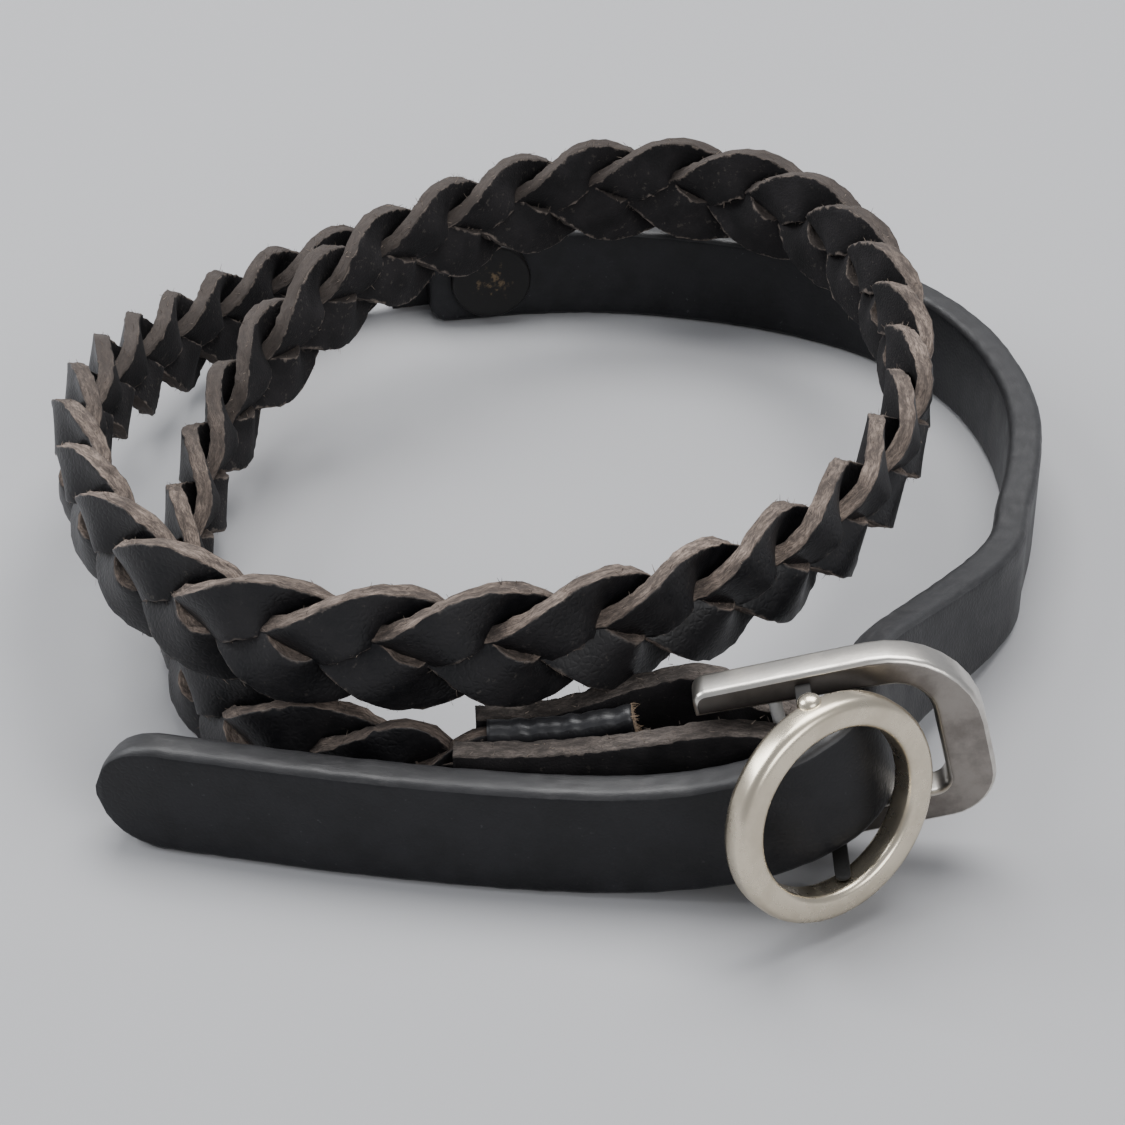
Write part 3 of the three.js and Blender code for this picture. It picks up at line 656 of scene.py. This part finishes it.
def meshPiece(name, mesh):
    data = bpy.data.meshes.new(name)
    mesh.to_mesh(data)
    mesh.free()
    piece = bpy.data.objects.new(name, data)
    bpy.context.scene.collection.objects.link(piece)
    return piece


def addFibre(mesh, place, along, outward, dice):
    aim = Vector(outward) + Vector([dice.gauss(0, fuzz["lean"]) for _ in range(3)]) * fuzz["spread"]
    aim += Vector(along) * dice.gauss(0, fuzz["lean"])
    aim.normalize()
    length = dice.uniform(*fuzz["length"]) * dice.uniform(0.5, 1)
    radius = dice.uniform(*fuzz["radius"])
    spot = (Vector(place) + shift + aim * length * fuzz["proud"]) * mm
    turn = aim.to_track_quat("Z", "Y").to_matrix().to_4x4()
    bmesh.ops.create_cone(mesh, cap_ends=True, segments=3, radius1=radius * mm,
                          radius2=radius * fuzz["taper"] * mm, depth=length * mm,
                          matrix=Matrix.Translation(spot) @ turn)


def fuzzOn(name, routes, spec, count, seed, widthAt):
    dice = random.Random(seed)
    mesh = bmesh.new()
    for _ in range(count):
        route = dice.choice(routes)
        distance = dice.uniform(0, route["distance"][-1])
        spot = frameOn(route, distance)
        side = dice.choice((-1, 1))
        half = widthAt(route, distance) / 2
        depth = dice.uniform(-0.5, 0.5) * spec["thickness"]
        place = spot["point"] + spot["width"] * side * half + spot["through"] * depth
        addFibre(mesh, place, spot["along"], spot["width"] * side, dice)
    return meshPiece(name, mesh)


def strandWidthAt(route, distance):
    loose = np.interp(distance, route["distance"], route["loose"])
    return plait["endWidth"] + (plait["width"] - plait["endWidth"]) * loose


def endTufts():  # the frayed cut end of the plait's start
    dice = random.Random(23)
    mesh = bmesh.new()
    spot = frameOn(startTabRoute, 0.0)
    for _ in range(startTab["tufts"]):
        across = dice.uniform(0.1, 0.5) * startTab["width"]  # the visible upper part only
        depth = dice.uniform(-0.5, 0.5) * startTab["thickness"]
        place = spot["point"] + spot["width"] * across + spot["through"] * depth
        addFibre(mesh, place, spot["through"], -spot["along"], dice)
    return meshPiece("tabTufts", mesh)


fibreMaterial, fibreTree, fibreShader, fibrePlace = newMaterial("looseFibre", Roughness=0.9)
fibreNoise = noiseNode(fibreTree, fibrePlace, 900.0, 2.0)
fibreColour = mixColour(fibreTree, rangeNode(fibreTree, fibreNoise, 0.35, 0.65), (0.06, 0.048, 0.04, 1),
                        (0.26, 0.21, 0.17, 1))
fibreTree.links.new(fibreColour, fibreShader.inputs["Base Color"])
dress(fuzzOn("plaitFuzz", strandRoutes, plait, fuzz["count"], 21, strandWidthAt), "band", "plait_leather",
      [fibreMaterial])
loopFuzz = fuzzOn("loopFuzz", [loopRoute], loop, fuzz["tabCount"], 22,
                  lambda route, distance: loop["width"])
dress(loopFuzz, "band", "strap_leather", [fibreMaterial])
dress(endTufts(), "band", "tab_leather", [rawEnd])
report("fibres")


# spins a profile of (radius, height) about local x, closes it and sets it in place
def turned(name, profile, place, segments=48):
    mesh = bmesh.new()
    points = [mesh.verts.new((height, radius, 0)) for radius, height in profile]
    edges = [mesh.edges.new(pair) for pair in zip(points, points[1:])]
    bmesh.ops.spin(mesh, geom=points + edges, cent=(0, 0, 0), axis=(1, 0, 0), angle=2 * math.pi,
                   steps=segments, use_merge=True)
    bmesh.ops.remove_doubles(mesh, verts=mesh.verts, dist=1e-4)
    bmesh.ops.recalc_face_normals(mesh, faces=mesh.faces)
    return finishTurned(name, mesh, place)


def finishTurned(name, mesh, place):
    for face in mesh.faces:
        face.smooth = True
    for edge in mesh.edges:
        edge.smooth = edge.is_manifold and edge.calc_face_angle(0) < math.radians(40)
    data = bpy.data.meshes.new(name)
    flat = [list(vert.co) for vert in mesh.verts]
    bmesh.ops.transform(mesh, matrix=place, verts=mesh.verts)
    bmesh.ops.translate(mesh, vec=shift, verts=mesh.verts)
    bmesh.ops.scale(mesh, vec=(mm, mm, mm), verts=mesh.verts)
    mesh.to_mesh(data)
    mesh.free()
    data.attributes.new("flat", "FLOAT_VECTOR", "POINT").data.foreach_set("vector", np.ravel(flat))
    piece = bpy.data.objects.new(name, data)
    bpy.context.scene.collection.objects.link(piece)
    return piece


def placeOn(route, distance):  # local x runs through the leather, y across it and z along it
    spot = frameOn(route, distance)
    matrix = Matrix([spot["through"], spot["width"], spot["along"]]).transposed().to_4x4()
    matrix.translation = spot["point"]
    return matrix


def arcPoints(centre, radius, start, stop, steps=5):
    spots = []
    for step in range(steps + 1):
        angle = math.radians(start + (stop - start) * step / steps)
        spots.append((centre[0] + radius * math.cos(angle), centre[1] + radius * math.sin(angle)))
    return spots


rivet = dict(shank=0.9, head=3.4, loopHead=2.5, height=0.7, seat=0.1, edge=0.28, dish=0.18, jointBack=5.1,
             loopBack=1.2, jointReach=(-3.1, 1.3), loopReach=(-2.6, 2.6))


def rivetHead(base, outward, head):  # a flat head with a rolled rim and a shallow dish in the middle
    top = base + outward * rivet["height"]
    edge = rivet["edge"]
    rim = arcPoints((head - edge, rivet["height"] - edge), edge, 0, 90)
    points = [(0, base), (head, base)]
    points += [(radius, base + outward * height) for radius, height in rim]
    points += [(head * 0.72, top - outward * 0.02), (head * 0.6, top - outward * rivet["dish"]),
               (head * 0.3, top - outward * rivet["dish"] * 0.8), (0, top - outward * rivet["dish"] * 0.5)]
    return points


def addRivet(name, node, place, low, high, head):
    foot = low - rivet["seat"]
    post = rivetHead(foot, -1, head)
    post[0:1] = [(0, high), (rivet["shank"], high), (rivet["shank"], foot)]
    dress(turned(name, post, place), "band", "rivet_metal", [rivetMetal], node)
    cap = rivetHead(high + rivet["seat"], 1, head)
    dress(turned(name + "Cap", cap, place), "band", "rivet_metal", [rivetMetal], node + "_cap")


strapEnd = strapRoute["distance"][-1]
addRivet("jointRivet", "joint_rivet", placeOn(strapRoute, strapEnd - rivet["jointBack"]),
         *rivet["jointReach"], rivet["head"])
loopMiddle = placeOn(startTabRoute, startTabRoute["distance"][-1] - rivet["loopBack"])
addRivet("loopRivet", "loop_rivet", loopMiddle @ Matrix.Translation((0, -0.5, 0)), *rivet["loopReach"],
         rivet["loopHead"])
report("rivets")

plate = dict(thickness=2.4, top=6.2, bottom=-7.0, left=-12.4, right=5.1, armTip=1.7, armRoot=2.3, limb=3.1,
             upperCorner=6.4, lowerCorner=3.3, upperWindow=2.4, lowerWindow=0.9, tip=0.9, rim=0.45,
             rimSegments=4)
lug = dict(half=0.5, thickness=0.3, outer=5.5, sunk=1.2)
pin = dict(radius=0.42, length=11.0, edge=0.12, segments=28)
buckleMatrix = Matrix.Translation(buckle["place"]) @ Matrix.Rotation(-buckle["slope"], 4, "Y")


# each corner is a place (x, z) in the plate and the radius it is rounded to
def roundCorners(mesh, corners):
    for (x, z), radius in corners:
        vert = min(mesh.verts, key=lambda v: (v.co.x - x) ** 2 + (v.co.z - z) ** 2)
        bmesh.ops.bevel(mesh, geom=[vert], affect="VERTICES", offset=radius, segments=8, profile=0.5,
                        material=-1)


def buckleFrame():
    mesh = bmesh.new()
    left, right, top, bottom = plate["left"], plate["right"], plate["top"], plate["bottom"]
    inner = right - plate["limb"]
    outline = [(left, bottom), (right, bottom), (right, top), (left, top), (left, top - plate["armTip"]),
               (inner, top - plate["armRoot"]), (inner, bottom + plate["armRoot"]),
               (left, bottom + plate["armTip"])]
    mesh.faces.new([mesh.verts.new((x, 0, z)) for x, z in outline])
    roundCorners(mesh, [((right, bottom), plate["lowerCorner"]), ((right, top), plate["upperCorner"]),
                        ((inner, top - plate["armRoot"]), plate["upperWindow"]),
                        ((inner, bottom + plate["armRoot"]), plate["lowerWindow"]),
                        ((left, top), plate["tip"]), ((left, bottom), plate["tip"])])
    grown = bmesh.ops.extrude_face_region(mesh, geom=mesh.faces[:])["geom"]
    bmesh.ops.translate(mesh, vec=(0, plate["thickness"], 0),
                        verts=[item for item in grown if isinstance(item, bmesh.types.BMVert)])
    bmesh.ops.recalc_face_normals(mesh, faces=mesh.faces)
    rimEdges = [e for e in mesh.edges if abs(e.verts[0].co.y - e.verts[1].co.y) < 1e-4]
    bmesh.ops.bevel(mesh, geom=rimEdges, affect="EDGES", offset=plate["rim"], segments=plate["rimSegments"],
                    profile=0.5, material=-1)
    for face in mesh.faces:
        face.material_index = 0 if abs(face.normal.y) > 0.98 else 1
    for side in (1, -1):
        addLug(mesh, side)
    return finishTurned("buckleFrame", mesh, buckleMatrix)


def addLug(mesh, side):  # a tongue with a round end that carries one of the ring's pivots
    tongue = bmesh.new()
    reach = buckle["ringForward"]
    bmesh.ops.create_cube(tongue, size=1.0)
    bmesh.ops.scale(tongue, vec=(2 * lug["half"], reach + lug["half"] + lug["sunk"], lug["thickness"]),
                    verts=tongue.verts)
    bmesh.ops.translate(tongue, vec=(buckle["ringAlong"], (lug["sunk"] - reach - lug["half"]) / 2,
                                     side * (lug["outer"] - lug["thickness"] / 2)), verts=tongue.verts)
    tips = [e for e in tongue.edges if e.verts[0].co.y < -reach and e.verts[1].co.y < -reach
            and abs(e.verts[0].co.z - e.verts[1].co.z) > 0.1]
    bmesh.ops.bevel(tongue, geom=tips, affect="EDGES", offset=lug["half"] * 0.95, segments=6, profile=0.5,
                    material=-1)
    edges = [e for e in tongue.edges if e.calc_face_angle(0) > 0.6]
    bmesh.ops.bevel(tongue, geom=edges, affect="EDGES", offset=0.1, segments=2, profile=0.5, material=-1)
    for face in tongue.faces:
        face.material_index = 2
    data = bpy.data.meshes.new("lug")
    tongue.to_mesh(data)
    tongue.free()
    mesh.from_mesh(data)
    bpy.data.meshes.remove(data)


dress(buckleFrame(), "frame", "aged_silver", [frameFaceTarnishAndShade, frameRim, lugShadeMetal], "buckle_frame")

pinHalf = pin["length"] / 2
pinCorner = arcPoints((pin["radius"] - pin["edge"], pinHalf - pin["edge"]), pin["edge"], 0, 90, 3)
pinProfile = [(0, -pinHalf)] + [(r, -h) for r, h in reversed(pinCorner)] + pinCorner + [(0, pinHalf)]
pinMatrix = buckleMatrix @ Matrix.Translation((buckle["pinAlong"], buckle["pinDepth"], 0))
upright = Matrix.Rotation(-math.pi / 2, 4, "Y")
hingePin = turned("hingePin", pinProfile, pinMatrix @ upright, pin["segments"])
dress(hingePin, "frame", "bright_steel", [pinGlintMetal], "hinge_pin")
report("buckle")

ring = dict(bore=5.6, outer=7.5, thickness=2.1, faceRound=0.5, wallRound=0.65, aside=0.25, segments=120)
pivot = dict(head=0.75, shank=0.4, seat=-0.08, height=0.52, inner=5.65, aside=0.62, back=0.55, segments=24)
ringMiddle = (buckle["ringAlong"] + ring["aside"], -buckle["ringForward"], 0)
ringMatrix = buckleMatrix @ Matrix.Translation(ringMiddle) @ Matrix.Rotation(buckle["ringTilt"], 4, "Z")


def ringProfile():
    half = ring["thickness"] / 2
    points = []
    outer, bore = (ring["outer"], ring["wallRound"]), (ring["bore"], ring["faceRound"])
    for (radius, soft), side, start in ((outer, 1, 0), (bore, 1, 90), (bore, -1, 180), (outer, -1, 270)):
        inward = -1 if radius == ring["outer"] else 1
        centre = (radius + inward * soft, side * (half - soft))
        points += arcPoints(centre, soft, start, start + 90)
    return points + points[:1]


axisAlongDepth = Matrix.Rotation(math.pi / 2, 4, "Z")
hoop = turned("ring", ringProfile(), ringMatrix @ axisAlongDepth, ring["segments"])
dress(hoop, "ring", "bright_silver", [ringMetal], "ring")
for label, side in (("upper", 1), ("lower", -1)):
    base = ring["outer"] + pivot["seat"]
    dome = [(pivot["head"] * math.cos(a), base + pivot["height"] * math.sin(a))
            for a in np.linspace(0, math.pi / 2, 7)[:-1]]
    profile = [(0, pivot["inner"]), (pivot["shank"], pivot["inner"]), (pivot["shank"], base)] + dome
    profile.append((0, base + pivot["height"]))
    matrix = (ringMatrix @ Matrix.Translation((pivot["aside"], pivot["back"], 0))
              @ Matrix.Rotation(-side * math.pi / 2, 4, "Y"))
    post = turned("ringPivot" + label.title(), profile, matrix, pivot["segments"])
    dress(post, "ring", "bright_silver", [ringMetal], "ring_pivot_" + label)
report("ring")

studio = dict(floorSize=3.0, floorColour=(0.37, 0.37, 0.38, 1), middle=(0, 0, 0.005),
              worldColour=(0.9, 0.93, 1.0, 1), worldStrength=0.45)
floorMesh = bmesh.new()
bmesh.ops.create_grid(floorMesh, x_segments=1, y_segments=1, size=studio["floorSize"] / 2)
floor = meshPiece("floor", floorMesh)
floorMaterial = newMaterial("floorPaper", Roughness=0.9, Base_Color=studio["floorColour"])[0]
floor.data.materials.append(floorMaterial)


def addLight(name, place, size, power, colour=(1, 1, 1)):
    data = bpy.data.lights.new(name, "AREA")
    data.shape = "RECTANGLE"
    data.size, data.size_y = size
    data.energy = power
    data.color = colour
    light = bpy.data.objects.new(name, data)
    light.location = place
    aim = Vector(studio["middle"]) - Vector(place)
    light.rotation_euler = aim.to_track_quat("-Z", "Y").to_euler()
    bpy.context.scene.collection.objects.link(light)


addLight("ceiling", (0.05, 0.25, 0.7), (0.7, 0.5), 9.0)
addLight("window", (-0.6, 0.1, 0.45), (0.4, 0.4), 4.0, (0.96, 0.98, 1.0))
addLight("frontFill", (0.35, -0.6, 0.4), (0.5, 0.3), 2.5)
world = bpy.data.worlds.new("studio")
world.use_nodes = True
background = world.node_tree.nodes["Background"]
background.inputs["Color"].default_value = studio["worldColour"]
background.inputs["Strength"].default_value = studio["worldStrength"]
bpy.context.scene.world = world

view = dict(tilt=math.radians(33), away=209.0, lens=89.6)
cameraData = bpy.data.cameras.new("camera")
cameraData.lens = view["lens"]
cameraData.sensor_width = 36.0
cameraData.clip_start = 0.01
camera = bpy.data.objects.new("camera", cameraData)
stand = Vector((0, -math.cos(view["tilt"]), math.sin(view["tilt"]))) * view["away"]
camera.location = (shift + stand) * mm
camera.rotation_euler = (math.pi / 2 - view["tilt"], 0, 0)
bpy.context.scene.collection.objects.link(camera)
bpy.context.scene.camera = camera
